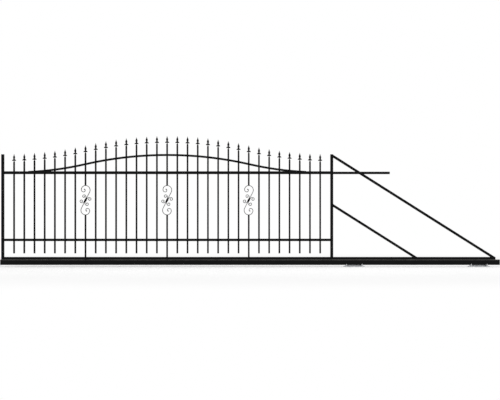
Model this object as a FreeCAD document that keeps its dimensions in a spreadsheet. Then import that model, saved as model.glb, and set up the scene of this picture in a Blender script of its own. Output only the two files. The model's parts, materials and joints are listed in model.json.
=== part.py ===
"""Sliding driveway gate: a cantilever leaf with an arched top, carried on two roller carriages.

Millimetres. The origin is the centre of the front carriage's foot, on the ground. +X runs along
the rail in the direction that the gate opens, -Y is the street side, where the pickets are,
and +Z is up.
"""
import FreeCAD, Part
import math
import os

from FreeCAD import Placement, Rotation, Vector

SIZES = {
    # Running rail
    "rail_length": 5994,
    "rail_width": 65,
    "rail_height": 65,
    "rail_wall": 3.5,
    "rail_corner": 8,
    "rail_slot": 24,
    "end_cap_thickness": 3,
    "end_cap_plug": 12,
    "end_cap_clearance": 1.6,
    # Leaf frame
    "leaf_start": 10,
    "leaf_width": 3990,
    "stile_size": 35,
    "stile_rise": 200.5,
    "tube_size": 30,
    "tube_wall": 2,
    "cap_thickness": 4,
    "cap_chamfer": 2,
    "cap_plug": 10,
    "cap_clearance": 0.3,
    "tail_end_gap": 50,
    "top_rail_size": 35,
    "top_rail_height": 1090.5,
    "lower_rail_size": 30,
    "lower_rail_height": 285.5,
    # Arch
    "arch_size": 25,
    "arch_rise": 208,
    "arch_heel_inset": 115,
    "arch_heel_radius": 3850,
    "arch_end_height": 4,
    # Tail
    "guide_size": 30,
    "guide_reach": 680,
    "brace_size": 30,
    "long_brace_drop": 24,
    "brace_toe_inset": 33,
    "short_brace_height": 714,
    # Pickets and the line that their tips follow
    "picket_size": 20,
    "bay_count": 4,
    "bay_pickets": 7,
    "picket_foot_gap": 44,
    "tip_over_arch": 229,
    "tip_rise": 218,
    "tip_heel_radius": 4565,
    # Spear heads, as drops below the tip
    "spear_height": 100,
    "spear_tip_width": 2,
    "spear_flatness": 0.75,
    "spike_width": 6,
    "spike_drop": 18,
    "bud_width": 22,
    "bud_drop": 43,
    "waist_width": 14,
    "wing_span": 46,
    "wing_drop": 77,
    "wing_height": 18,
    "wing_droop": 6,
    "wing_tip_drop": 1,
    "neck_width": 15,
    "neck_drop": 90,
    # Scroll ornaments
    "scroll_centre_height": 778,
    "scroll_height": 359,
    "strip_thickness": 7,
    "strip_depth": 14,
    "loop_radius": 55,
    "turn_radius": 50,
    "curl_radius": 27,
    "eye_radius": 19,
    "eye_turn": 140,
    "side_bend_radius": 31,
    "side_curl_radius": 16,
    "side_eye_radius": 11,
    "side_eye_turn": 120,
    "collar_length": 24,
    "collar_wall": 2.5,
    "collar_margin": 8,
    # Roller carriages
    "front_carriage_gap": 250,
    "rear_carriage_inset": 250,
    "plate_length": 250,
    "plate_width": 120,
    "plate_thickness": 10,
    "plate_hole_radius": 7,
    "plate_hole_run": 190,
    "plate_hole_gauge": 90,
    "ground_gap": 14,
    "web_length": 190,
    "web_thickness": 10,
    "web_over_axle": 14,
    "roller_spacing": 120,
    "roller_width": 16,
    "roller_top_gap": 0.3,
    "roller_bottom_gap": 1.2,
}

DERIVED = {
    "rail_bottom": "plate_thickness + ground_gap",
    "rail_top": "rail_bottom + rail_height",
    "front_carriage_place": "leaf_start + leaf_width + front_carriage_gap",
    "rail_left": "end_cap_thickness - front_carriage_place",
    "rail_right": "rail_left + rail_length",
    "rear_carriage_place": "rail_right + end_cap_thickness - rear_carriage_inset",
    "tube_top": "rail_top + tube_size",
    "leaf_left": "leaf_start - front_carriage_place",
    "leaf_right": "leaf_left + leaf_width",
    "clear_left": "leaf_left + stile_size",
    "clear_right": "leaf_right - stile_size",
    "clear_width": "leaf_width - 2 * stile_size",
    "leaf_middle": "(leaf_left + leaf_right) / 2",
    "front_face": "picket_size - rail_width / 2",
    "top_rail_bottom": "rail_bottom + top_rail_height",
    "top_rail_top": "top_rail_bottom + top_rail_size",
    "stile_top": "top_rail_top + stile_rise",
    "lower_rail_bottom": "rail_bottom + lower_rail_height",
    "tail_end": "rail_right + end_cap_thickness - tail_end_gap",
    "guide_end": "leaf_right + guide_reach",
    "long_brace_top": "stile_top + cap_thickness - long_brace_drop",
    "long_brace_foot": "tail_end - leaf_right - brace_toe_inset",
    "short_brace_top": "rail_bottom + short_brace_height",
    "arch_half_span": "clear_width / 2 - arch_heel_inset",
    "arch_radii": "(arch_half_span * arch_half_span + arch_rise * arch_rise) / (2 * arch_rise)",
    "arch_crown_radius": "arch_radii - arch_heel_radius",
    "arch_heel": "top_rail_top - arch_size / 2",
    "arch_top_radius": "arch_heel_radius - arch_size / 2",
    "arch_run_out": "sqrt((2 * arch_top_radius - arch_end_height) * arch_end_height)",
    "arch_reach": "arch_half_span - arch_run_out",
    "tip_half_span": "clear_width / 2",
    "tip_radii": "(tip_half_span * tip_half_span + tip_rise * tip_rise) / (2 * tip_rise)",
    "tip_crown_radius": "tip_radii - tip_heel_radius",
    "tip_crown": "arch_heel + arch_rise + tip_over_arch",
    "picket_foot": "tube_top + picket_foot_gap",
    "picket_middle": "front_face - picket_size / 2",
    "picket_count": "bay_count * (bay_pickets + 1) - 1",
    "picket_pitch": "clear_width / (picket_count + 1)",
    "scroll_centre": "rail_bottom + scroll_centre_height",
    "scroll_top": "scroll_centre + scroll_height / 2",
    "scroll_foot": "scroll_centre - scroll_height / 2",
    "roller_radius": "(rail_height - 2 * rail_wall - roller_top_gap - roller_bottom_gap) / 2",
    "axle_height": "rail_bottom + rail_wall + roller_bottom_gap + roller_radius",
}

SHEET = "Dimensions"
ALONG_Y = Vector(0, 1, 0)

doc = FreeCAD.newDocument("SlidingGate")
sheet = doc.addObject("Spreadsheet::Sheet", SHEET)
pieces = []


def fill_sheet():
    """Write the driving sizes as plain numbers and the rest as formulas, each under its alias."""
    rows = [(alias, str(number)) for alias, number in SIZES.items()]
    rows += [(alias, "=" + formula) for alias, formula in DERIVED.items()]
    for row, (alias, content) in enumerate(rows, start=1):
        sheet.set(f"A{row}", alias)
        sheet.set(f"B{row}", content)
        sheet.setAlias(f"B{row}", alias)
    doc.recompute()


def size(alias):
    """A size from the sheet, as a plain number."""
    return float(sheet.get(alias))


def bind(item, prop, formula):
    """Tie a property to the sheet: every alias in the formula becomes a reference to its cell."""
    words = formula.replace("(", "( ").replace(")", " )").replace("-", "- ").split()
    known = SIZES.keys() | DERIVED.keys()
    item.setExpression(prop, " ".join(f"{SHEET}.{word}" if word in known else word for word in words))


def keep(item, label):
    """Name an object as a finished piece."""
    item.Label = label
    pieces.append(item)
    return item


def block(name, corner, extent):
    """A box from its low corner and its extent, both as formulas."""
    item = doc.addObject("Part::Box", name)
    for prop, formula in zip(("Length", "Width", "Height"), extent):
        bind(item, prop, formula)
    for axis, formula in zip("xyz", corner):
        bind(item, "Placement.Base." + axis, formula)
    return item


def cross_rod(name, radius, half_length, centre):
    """A cylinder along Y about a centre, all as formulas."""
    item = doc.addObject("Part::Cylinder", name)
    item.Placement.Rotation = Rotation(Vector(1, 0, 0), -90)
    bind(item, "Radius", radius)
    bind(item, "Height", f"2 * {half_length}")
    bind(item, "Placement.Base.x", centre[0])
    bind(item, "Placement.Base.y", f"{centre[1]} - {half_length}")
    bind(item, "Placement.Base.z", centre[2])
    return item


def cut(name, base, tool):
    """One object less another."""
    item = doc.addObject("Part::Cut", name)
    item.Base = base
    item.Tool = tool
    return item


def common(name, base, tool):
    """What two objects share."""
    item = doc.addObject("Part::Common", name)
    item.Base = base
    item.Tool = tool
    return item


def fuse(name, base, tool):
    """Two objects joined."""
    item = doc.addObject("Part::Fuse", name)
    item.Base = base
    item.Tool = tool
    return item


def group(name, members):
    """Several solids that make one node."""
    item = doc.addObject("Part::Compound", name)
    item.Links = members
    return item


def solid_shape(name, shape):
    """A piece whose shape is worked out here from the sheet's sizes."""
    item = doc.addObject("Part::Feature", name)
    item.Shape = shape
    return item


def extruded(name, face, depth, middle):
    """A face in the XZ plane given a depth along Y; its middle is a point given as formulas."""
    outline = solid_shape(name + "_outline", face)
    bind(outline, "Placement.Base.x", middle[0])
    bind(outline, "Placement.Base.y", f"{middle[1]} - {depth} / 2")
    bind(outline, "Placement.Base.z", middle[2])
    item = doc.addObject("Part::Extrusion", name)
    item.Base = outline
    item.DirMode = "Custom"
    item.Dir = ALONG_Y
    item.Solid = True
    bind(item, "LengthFwd", depth)
    return item


def edges_along_x(shape):
    """Numbers of a box's edges that run along X."""
    numbers = []
    for number, edge in enumerate(shape.Edges, start=1):
        box = edge.BoundBox
        if box.XLength > box.YLength + box.ZLength:
            numbers.append(number)
    return numbers


def rim_edges(shape, axis):
    """Numbers of a box's edges that lie on its far end along an axis."""
    level = getattr(shape.BoundBox, axis.upper() + "Max")
    numbers = []
    for number, edge in enumerate(shape.Edges, start=1):
        if all(abs(getattr(vertex.Point, axis) - level) < 1e-6 for vertex in edge.Vertexes):
            numbers.append(number)
    return numbers


def rounded(name, base, radius):
    """A box with its four edges along X rounded."""
    doc.recompute()
    item = doc.addObject("Part::Fillet", name)
    item.Base = base
    item.Edges = [(number, radius, radius) for number in edges_along_x(base.Shape)]
    return item


def inset(corner, extent, axis, margin):
    """A box's corner and extent drawn in by a margin on the four sides about an axis."""
    inner_corner = [at if way == axis else f"{at} + {margin}" for way, at in zip("xyz", corner)]
    inner_extent = [run if way == axis else f"{run} - 2 * {margin}" for way, run in zip("xyz", extent)]
    return inner_corner, inner_extent


def tube(name, corner, extent, axis):
    """A square tube along an axis, open at both ends."""
    outside = block(name + "_outside", corner, extent)
    inside = block(name + "_inside", *inset(corner, extent, axis, "tube_wall"))
    return cut(name, outside, inside)


def cap(name, corner, extent, axis):
    """A tube's cap: a plate with a chamfered rim at its far end, and a plug behind it."""
    plate = block(name + "_plate", corner, extent)
    doc.recompute()
    head = doc.addObject("Part::Chamfer", name + "_head")
    head.Base = plate
    chamfer = size("cap_chamfer")
    head.Edges = [(number, chamfer, chamfer) for number in rim_edges(plate.Shape, axis)]
    plug_corner, plug_extent = inset(corner, extent, axis, "( tube_wall + cap_clearance )")
    across = "xyz".index(axis)
    plug_corner[across] += " - cap_plug"
    plug_extent[across] = "cap_plug"
    return fuse(name, head, block(name + "_plug", plug_corner, plug_extent))


def add_running_rail():
    """The C-shaped rail, open along its underside, with a cap plugged into each end."""
    over = "2 * rail_wall"
    outer = block("rail_outer", ("rail_left", "- rail_width / 2", "rail_bottom"),
                  ("rail_length", "rail_width", "rail_height"))
    inner = block("rail_inner",
                  ("rail_left - rail_wall", "rail_wall - rail_width / 2", "rail_bottom + rail_wall"),
                  ("rail_length + " + over, "rail_width - " + over, "rail_height - " + over))
    mouth = block("rail_mouth", ("rail_left - rail_wall", "- rail_slot / 2", "rail_bottom - rail_wall"),
                  ("rail_length + " + over, "rail_slot", "3 * rail_wall"))
    skin = rounded("rail_skin", outer, size("rail_corner"))
    hollow = rounded("rail_hollow", inner, size("rail_corner") - size("rail_wall"))
    keep(cut("running_rail", cut("rail_tube", skin, hollow), mouth), "running_rail")

    caps = []
    for side, plate_x, plug_x in (("left", "rail_left - end_cap_thickness", "rail_left"),
                                  ("right", "rail_right", "rail_right - end_cap_plug")):
        plate = block(f"{side}_end_plate", (plate_x, "- rail_width / 2", "rail_bottom"),
                      ("end_cap_thickness", "rail_width", "rail_height"))
        plug = block(f"{side}_end_plug",
                     *inset((plug_x, "- rail_width / 2", "rail_bottom"),
                            ("end_cap_plug", "rail_width", "rail_height"), "x",
                            "( rail_wall + end_cap_clearance )"))
        caps.append(fuse(f"{side}_end_cap", rounded(f"{side}_end_face", plate, size("rail_corner")), plug))
    keep(group("rail_end_caps", caps), "rail_end_caps")


def add_leaf_frame():
    """Stiles, rails and the tube along the bottom, all flush on the street side."""
    stile_length = "stile_top - rail_top"
    caps = []
    for side, start in (("left", "leaf_left"), ("right", "clear_right")):
        keep(tube(f"{side}_stile", (start, "front_face", "rail_top"),
                  ("stile_size", "stile_size", stile_length), "z"), f"{side}_stile")
        caps.append(cap(f"{side}_stile_cap", (start, "front_face", "stile_top"),
                        ("stile_size", "stile_size", "cap_thickness"), "z"))
    keep(group("stile_caps", caps), "stile_caps")

    for label, bottom, section in (("bottom_tube", "rail_top", "tube_size"),
                                   ("lower_rail", "lower_rail_bottom", "lower_rail_size"),
                                   ("top_rail", "top_rail_bottom", "top_rail_size")):
        keep(tube(label, ("clear_left", "front_face", bottom), ("clear_width", section, section), "x"), label)


def arch_edges(offset):
    """One side of the arch bar, from left heel to right heel, about the arch's crown line."""
    half_span, rise = size("arch_half_span"), size("arch_rise")
    crown_radius, heel_radius = size("arch_crown_radius"), size("arch_heel_radius")
    slope = math.asin(half_span / size("arch_radii"))

    def on_crown(angle):
        radius = crown_radius + offset
        return Vector(radius * math.sin(angle), 0, rise - crown_radius + radius * math.cos(angle))

    def on_heel(angle):
        radius = heel_radius - offset
        return Vector(half_span - radius * math.sin(angle), 0, heel_radius - radius * math.cos(angle))

    def mirrored(point):
        return Vector(-point.x, 0, point.z)

    right = [on_crown(slope), on_heel(slope / 2), on_heel(0)]
    left = [mirrored(point) for point in right]
    return [Part.Arc(left[2], left[1], left[0]).toShape(),
            Part.Arc(left[0], on_crown(0), right[0]).toShape(),
            Part.Arc(right[0], right[1], right[2]).toShape()]


def closed_face(sides):
    """A face between two chains of edges that run the same way."""
    first, second = sides
    ends = [Part.makeLine(first[0].Vertexes[0].Point, second[0].Vertexes[0].Point),
            Part.makeLine(first[-1].Vertexes[-1].Point, second[-1].Vertexes[-1].Point)]
    return Part.Face(Part.Wire(Part.__sortEdges__(first + second + ends)))


def add_arch():
    """The bowed top bar, which runs out into the top rail at both heels."""
    half = size("arch_size") / 2
    face = closed_face((arch_edges(half), arch_edges(-half)))
    bow = extruded("arch_bow", face, "arch_size", ("leaf_middle", "front_face + arch_size / 2", "arch_heel"))
    space = block("arch_space", ("leaf_middle - arch_reach", "front_face", "top_rail_top"),
                  ("2 * arch_reach", "arch_size", "2 * arch_rise"))
    keep(common("arch_rail", bow, space), "arch_rail")


def add_tail():
    """The counterbalance tail: its tube, two braces and the bar that the top guide holds."""
    tube_length = "tail_end - leaf_right - cap_thickness"
    keep(tube("tail_tube", ("leaf_right", "front_face", "rail_top"),
              (tube_length, "tube_size", "tube_size"), "x"), "tail_tube")
    keep(cap("tail_tube_cap", ("tail_end - cap_thickness", "front_face", "rail_top"),
             ("cap_thickness", "tube_size", "tube_size"), "x"), "tail_tube_cap")

    space = block("tail_space", ("leaf_right", "front_face - stile_size", "tube_top"),
                  ("rail_length", "3 * stile_size", "stile_top"))
    slope = math.atan2(size("long_brace_top") - size("tube_top"), size("long_brace_foot"))
    bars = {}
    for label in ("long_brace", "short_brace"):
        bars[label] = brace_bar(label + "_outside", label, slope, size("brace_size"))
        bore = brace_bar(label + "_inside", label, slope, size("brace_size") - 2 * size("tube_wall"))
        keep(common(label, cut(label + "_tube", bars[label], bore), space), label)

    bar = tube("guide_run", ("leaf_right", "front_face", "top_rail_bottom"),
               ("guide_reach - cap_thickness", "guide_size", "guide_size"), "x")
    keep(cut("guide_bar", bar, bars["long_brace"]), "guide_bar")
    keep(cap("guide_bar_cap", ("guide_end - cap_thickness", "front_face", "top_rail_bottom"),
             ("cap_thickness", "guide_size", "guide_size"), "x"), "guide_bar_cap")


def brace_bar(name, brace, slope, section):
    """A sloping bar, longer at both ends than the brace, whose height on the stile is in the sheet."""
    middle = Vector(size("leaf_right"), size("front_face") + size("brace_size") / 2, size(brace + "_top"))
    overrun = 2 * size("brace_size")
    bar = doc.addObject("Part::Box", name)
    bar.Length = 2 * overrun + (middle.z - size("tube_top")) / math.sin(slope)
    bar.Width = section
    bar.Height = section
    turn = Rotation(ALONG_Y, math.degrees(slope))
    corner = turn.multVec(Vector(-overrun, -section / 2, -section / 2))
    bar.Placement = Placement(middle + corner, turn)
    return bar


def flat_face(corners):
    """A flat face from its corners."""
    return Part.Face(Part.makePolygon(corners + corners[:1]))


def stacked(sections):
    """A solid with flat sides through level sections of one shape, from the top down."""
    faces = [flat_face(sections[0]), flat_face(sections[-1])]
    for upper, lower in zip(sections, sections[1:]):
        for at in range(len(upper)):
            faces.append(flat_face([upper[at - 1], upper[at], lower[at], lower[at - 1]]))
    return Part.Solid(Part.Shell(faces))


def diamond(width, drop):
    """A forged bar's section: a diamond, flatter from front to back."""
    across, deep = width / 2, width * size("spear_flatness") / 2
    return [Vector(x, y, -drop) for x, y in ((across, 0), (0, deep), (-across, 0), (0, -deep))]


def square(width, drop):
    """A square section."""
    half = width / 2
    return [Vector(x, y, -drop) for x, y in ((half, half), (-half, half), (-half, -half), (half, -half))]


def spear_shape():
    """A spear head: a spiked bud, a pair of drooping wings, a neck and a square foot. Its tip is at 0."""
    wing_drop, neck_width = size("wing_drop"), size("neck_width")
    blade = stacked([diamond(size("spear_tip_width"), 0),
                     diamond(size("spike_width"), size("spike_drop")),
                     diamond(size("bud_width"), size("bud_drop")),
                     diamond(size("waist_width"), wing_drop)])
    foot = stacked([square(neck_width, wing_drop),
                    square(neck_width, size("neck_drop")),
                    square(size("picket_size"), size("spear_height"))])

    half_span, half_height, half_neck = size("wing_span") / 2, size("wing_height") / 2, neck_width / 2
    tip_low, tip_high = half_height + size("wing_tip_drop"), size("wing_droop") - size("wing_tip_drop")
    side = [(half_neck, half_height), (half_span, -tip_high),
            (half_span, -tip_low), (half_neck, -half_height)]
    corners = side + [(-x, z) for x, z in reversed(side)]
    outline = flat_face([Vector(x, -half_neck, z - wing_drop) for x, z in corners])
    wings = outline.extrude(Vector(0, neck_width, 0))
    return blade.multiFuse([foot, wings]).removeSplitter()


def tip_drop(distance):
    """How far the tips' line, two arcs that meet on a slope, has fallen at a distance from its crown."""
    crown_radius, heel_radius = size("tip_crown_radius"), size("tip_heel_radius")
    if distance <= crown_radius * size("tip_half_span") / size("tip_radii"):
        return crown_radius - math.sqrt(crown_radius**2 - distance**2)
    left = size("tip_half_span") - distance
    return size("tip_rise") - heel_radius + math.sqrt(heel_radius**2 - left**2)


def add_pickets():
    """Bays of spear-headed pickets, with a scroll bar between one bay and the next."""
    spear = spear_shape()
    bay_size = int(size("bay_pickets"))
    bays = [[] for bay in range(int(size("bay_count")))]
    bay_spears = [[] for bay in bays]
    scroll_bars = []
    scroll_spears = []
    scroll_places = []
    for number in range(1, int(size("picket_count")) + 1):
        middle = f"clear_left + {number} * picket_pitch"
        place = size("clear_left") + number * size("picket_pitch")
        tip = size("tip_crown") - tip_drop(abs(place - size("leaf_middle")))
        corner = (f"{middle} - picket_size / 2", "front_face - picket_size")
        bar_top = f"{tip:.6f} - spear_height"
        head = solid_shape(f"spear_{number}", spear)
        head.Placement.Base = Vector(place, size("picket_middle"), tip)
        bay, step = divmod(number, bay_size + 1)
        if step:
            bar = block(f"picket_{number}", corner + ("picket_foot",),
                        ("picket_size", "picket_size", f"{bar_top} - picket_foot"))
            bays[bay].append(bar)
            bay_spears[bay].append(head)
        else:
            scroll_bars.append(block(f"scroll_bar_upper_{bay}", corner + ("scroll_top",),
                                     ("picket_size", "picket_size", f"{bar_top} - scroll_top")))
            scroll_bars.append(block(f"scroll_bar_lower_{bay}", corner + ("rail_top",),
                                     ("picket_size", "picket_size", "scroll_foot - rail_top")))
            scroll_spears.append(head)
            scroll_places.append(middle)
    for number, (bars, heads) in enumerate(zip(bays, bay_spears), start=1):
        keep(group(f"pickets_bay_{number}", bars), f"pickets_bay_{number}")
        keep(group(f"spear_heads_bay_{number}", heads), f"spear_heads_bay_{number}")
    keep(group("scroll_bars", scroll_bars), "scroll_bars")
    keep(group("scroll_bar_spear_heads", scroll_spears), "scroll_bar_spear_heads")
    return scroll_places


def walk(point, heading, runs):
    """Follow straight and round runs, given as (length or radius, turn); yields each run's two ends."""
    for reach, turn in runs:
        start = (point, heading)
        if turn:
            side = math.copysign(1, turn)
            centre = point + side * reach * along(heading + 90)
            heading = heading + turn
            point = centre - side * reach * along(heading + 90)
        else:
            point = point + reach * along(heading)
        yield start, (point, heading)


def along(degrees):
    """A unit vector in the XZ plane at an angle from +X towards +Z."""
    return Vector(math.cos(math.radians(degrees)), 0, math.sin(math.radians(degrees)))


def strip_face(point, heading, runs):
    """The outline of a bent strip, seen on its edge, about the line that the runs follow."""
    half = size("strip_thickness") / 2
    sides = ([], [])
    for (reach, turn), (start, end) in zip(runs, walk(point, heading, runs)):
        for side, edges in zip((half, -half), sides):
            first = start[0] + side * along(start[1] + 90)
            last = end[0] + side * along(end[1] + 90)
            if turn:
                halfway = list(walk(*start, [(reach, turn / 2)]))[0][1]
                middle = halfway[0] + side * along(halfway[1] + 90)
                edges.append(Part.Arc(first, middle, last).toShape())
            else:
                edges.append(Part.makeLine(first, last))
    return closed_face(sides)


def scroll_faces():
    """Outlines of the S strip and of its two side scrolls about the ornament's centre, and the S's lean."""
    strip, loop = size("strip_thickness"), size("loop_radius")
    loop_height = (size("scroll_height") - strip) / 2 - loop
    lean = 90 - math.degrees(math.asin(loop / loop_height))
    stem = math.sqrt(loop_height**2 - loop**2)
    half = [(stem, 0), (loop, 180 - lean), (size("turn_radius"), 90), (size("curl_radius"), 90),
            (size("eye_radius"), size("eye_turn"))]
    end, end_heading = list(walk(Vector(), lean, half))[-1][1]
    first_half = [(reach, -turn) for reach, turn in reversed(half)]
    s_face = strip_face(-end, end_heading, first_half + half)

    flat = size("collar_length") / 2 + size("collar_margin")
    half = [(flat, 0), (size("side_bend_radius"), 90), (size("side_curl_radius"), 180),
            (size("side_eye_radius"), size("side_eye_turn"))]
    end, end_heading = list(walk(Vector(0, 0, strip), 0, half))[-1][1]
    sides = []
    for turn in (lean, lean + 180):
        start = -end.x * along(turn) + end.z * along(turn + 90)
        sides.append(strip_face(start, turn - end_heading, list(reversed(half)) + half))
    return s_face, sides, lean


def add_scrolls(places):
    """One ornament in each scroll bar: an S strip with two side scrolls, tied by a collar."""
    s_face, side_faces, lean = scroll_faces()
    turn = Rotation(ALONG_Y, -lean)
    s_strips, side_strips, collars = [], [], []
    for number, place in enumerate(places, start=1):
        middle = (place, "picket_middle", "scroll_centre")
        s_strips.append(extruded(f"s_strip_{number}", s_face, "strip_depth", middle))
        for side, face in zip(("left", "right"), side_faces):
            side_strips.append(extruded(f"{side}_strip_{number}", face, "strip_depth", middle))
        band = tilted_block(f"collar_band_{number}", turn, middle,
                            ("collar_length", "strip_depth + 2 * collar_wall",
                             "3 * strip_thickness + 2 * collar_wall"))
        bore = tilted_block(f"collar_bore_{number}", turn, middle,
                            ("2 * collar_length", "strip_depth", "3 * strip_thickness"))
        collars.append(cut(f"collar_{number}", band, bore))
    keep(group("s_scrolls", s_strips), "s_scrolls")
    keep(group("side_scrolls", side_strips), "side_scrolls")
    keep(group("scroll_collars", collars), "scroll_collars")


def tilted_block(name, turn, middle, extent):
    """A box about a middle point, turned in the XZ plane."""
    item = doc.addObject("Part::Box", name)
    for prop, formula in zip(("Length", "Width", "Height"), extent):
        bind(item, prop, formula)
    doc.recompute()
    corner = turn.multVec(Vector(-item.Length.Value / 2, -item.Width.Value / 2, -item.Height.Value / 2))
    item.Placement = Placement(corner, turn)
    for axis, formula in zip("xyz", middle):
        bind(item, "Placement.Base." + axis, f"{formula} + {getattr(corner, axis):.6f}")
    return item


def add_carriage(side, place):
    """A carriage's foot plate, and its web that passes up through the rail's mouth; gives its rollers."""
    plate = block(f"{side}_plate", (f"{place} - plate_length / 2", "- plate_width / 2", "0"),
                  ("plate_length", "plate_width", "plate_thickness"))
    holes = []
    for across in ("-", "+"):
        for deep in ("-", "+"):
            hole = doc.addObject("Part::Cylinder", f"{side}_plate_hole")
            bind(hole, "Radius", "plate_hole_radius")
            bind(hole, "Height", "plate_thickness")
            bind(hole, "Placement.Base.x", f"{place} {across} plate_hole_run / 2")
            bind(hole, "Placement.Base.y", f"0 {deep} plate_hole_gauge / 2")
            holes.append(hole)
    keep(cut(f"{side}_foot_plate", plate, group(f"{side}_plate_holes", holes)), f"{side}_foot_plate")

    web_height = "axle_height + web_over_axle - plate_thickness"
    keep(block(f"{side}_web", (f"{place} - web_length / 2", "- web_thickness / 2", "plate_thickness"),
               ("web_length", "web_thickness", web_height)), f"{side}_web")

    rollers = []
    for end, way in (("near", "-"), ("far", "+")):
        for face, sign in (("street", "-"), ("yard", "+")):
            middle = f"0 {sign} web_thickness / 2 {sign} roller_width / 2"
            rollers.append(cross_rod(f"{side}_{end}_{face}_roller", "roller_radius", "roller_width / 2",
                                     (f"{place} {way} roller_spacing / 2", middle, "axle_height")))
    return rollers


def check_and_export():
    """Stop on any failed object or bad shape, then write one file for each piece."""
    doc.recompute()
    for item in doc.Objects:
        if {"Invalid", "Error"} & set(item.State):
            raise RuntimeError(f"{item.Name} failed: {item.State}")
    for piece in pieces:
        if piece.Shape.isNull() or not piece.Shape.isValid() or not piece.Shape.Solids:
            raise RuntimeError(f"{piece.Label} has no valid shape")
    os.makedirs("parts", exist_ok=True)
    for piece in pieces:
        piece.Shape.exportStep(f"parts/{piece.Label}.step")
    print(len(pieces), "pieces,", sum(len(piece.Shape.Solids) for piece in pieces), "solids")


fill_sheet()
add_running_rail()
add_leaf_frame()
add_arch()
add_tail()
add_scrolls(add_pickets())
front_rollers = add_carriage("front", "0")
rear_rollers = add_carriage("rear", "rear_carriage_place")
keep(group("rollers", front_rollers + rear_rollers), "rollers")
check_and_export()
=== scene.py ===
"""Dresses a sliding driveway gate: coats, eased edges, forged heads, welds, carriage bolts and a stage."""
import json
import math

import bmesh
import bpy
from bpy.props import FloatProperty, FloatVectorProperty, PointerProperty
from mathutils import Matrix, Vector


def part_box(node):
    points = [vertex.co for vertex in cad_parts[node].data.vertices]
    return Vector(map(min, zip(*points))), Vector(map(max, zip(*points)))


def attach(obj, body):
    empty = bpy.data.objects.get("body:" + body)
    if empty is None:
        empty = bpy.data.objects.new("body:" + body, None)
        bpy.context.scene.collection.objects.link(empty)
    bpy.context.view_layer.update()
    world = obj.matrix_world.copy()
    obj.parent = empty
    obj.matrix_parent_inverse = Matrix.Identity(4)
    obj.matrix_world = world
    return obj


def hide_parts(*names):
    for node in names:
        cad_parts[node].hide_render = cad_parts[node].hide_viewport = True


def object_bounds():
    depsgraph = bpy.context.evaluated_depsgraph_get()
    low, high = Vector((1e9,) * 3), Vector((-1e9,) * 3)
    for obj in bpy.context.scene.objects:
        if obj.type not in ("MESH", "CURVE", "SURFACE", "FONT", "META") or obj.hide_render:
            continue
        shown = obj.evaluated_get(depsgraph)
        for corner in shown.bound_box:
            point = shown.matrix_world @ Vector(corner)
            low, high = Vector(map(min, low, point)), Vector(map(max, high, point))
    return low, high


bl_info = {
    "name": "Sliding Driveway Gate",
    "version": (1, 0, 0),
    "blender": (4, 5, 0),
    "location": "3D View > Sidebar > Gate",
    "description": "Finishes and dresses a cantilever sliding gate built from a packed frame",
    "category": "Object",
}

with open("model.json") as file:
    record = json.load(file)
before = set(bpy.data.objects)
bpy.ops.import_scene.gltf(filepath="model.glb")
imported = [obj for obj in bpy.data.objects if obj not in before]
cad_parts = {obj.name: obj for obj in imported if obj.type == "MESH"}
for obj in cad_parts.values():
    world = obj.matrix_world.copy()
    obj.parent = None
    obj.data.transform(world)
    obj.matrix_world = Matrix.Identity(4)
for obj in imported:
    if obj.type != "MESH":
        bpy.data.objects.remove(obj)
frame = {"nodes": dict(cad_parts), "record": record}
CAD_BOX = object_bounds()

LEAF = "leaf"
CARRIAGES = "carriages"
BAYS = sorted(name for name in frame["nodes"] if name.startswith("pickets_bay_"))
SPEAR_NODES = sorted(name for name in frame["nodes"] if "spear_heads" in name)
TUBES = ["left_stile", "right_stile", "bottom_tube", "lower_rail", "top_rail", "tail_tube",
         "long_brace", "short_brace", "guide_bar"]
BARS = BAYS + ["scroll_bars", "arch_rail"]
STRIPS = ["s_scrolls", "side_scrolls"]
CAPS = ["rail_end_caps", "stile_caps", "tail_tube_cap", "guide_bar_cap"]
SIDES = ["front", "rear"]

MM = 0.001
ALONG = Vector((1, 0, 0))
ACROSS = Vector((0, 1, 0))
UP = Vector((0, 0, 1))
# Corners this close are joined, faces this level are one face, and edges sharper than these
# are rounded or shaded as edges
JOIN_GAP = 0.01 * MM
FLAT_ANGLE = math.radians(0.5)
EDGE_ANGLE = math.radians(35)
SHADE_ANGLE = math.radians(40)


class GateFinishSettings(bpy.types.PropertyGroup):
    """Colours of the coats and metals."""
    coat: FloatVectorProperty(
        name="Coat", description="Powder coat on the tubes and pickets", subtype="COLOR",
        default=(0.0022, 0.0023, 0.0025), min=0, max=1)
    forged: FloatVectorProperty(
        name="Forged coat", description="Paint on the spear heads and scrolls", subtype="COLOR",
        default=(0.0020, 0.0021, 0.0023), min=0, max=1)
    # Light film on the running rail's upward faces: partly road dust, partly a painted highlight of the
    # overhead light on its top corner
    dust_and_highlight: FloatVectorProperty(
        name="Dust", description="Road dust on the running rail", subtype="COLOR",
        default=(0.115, 0.112, 0.106), min=0, max=1)
    plastic: FloatVectorProperty(
        name="Plastic", description="Moulded end caps", subtype="COLOR",
        default=(0.0060, 0.0062, 0.0068), min=0, max=1)
    zinc: FloatVectorProperty(
        name="Zinc", description="Plating on the carriages and their bolts", subtype="COLOR",
        default=(0.56, 0.57, 0.58), min=0, max=1)
    roller: FloatVectorProperty(
        name="Roller steel", description="Ground steel of the rollers", subtype="COLOR",
        default=(0.42, 0.42, 0.43), min=0, max=1)


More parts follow.
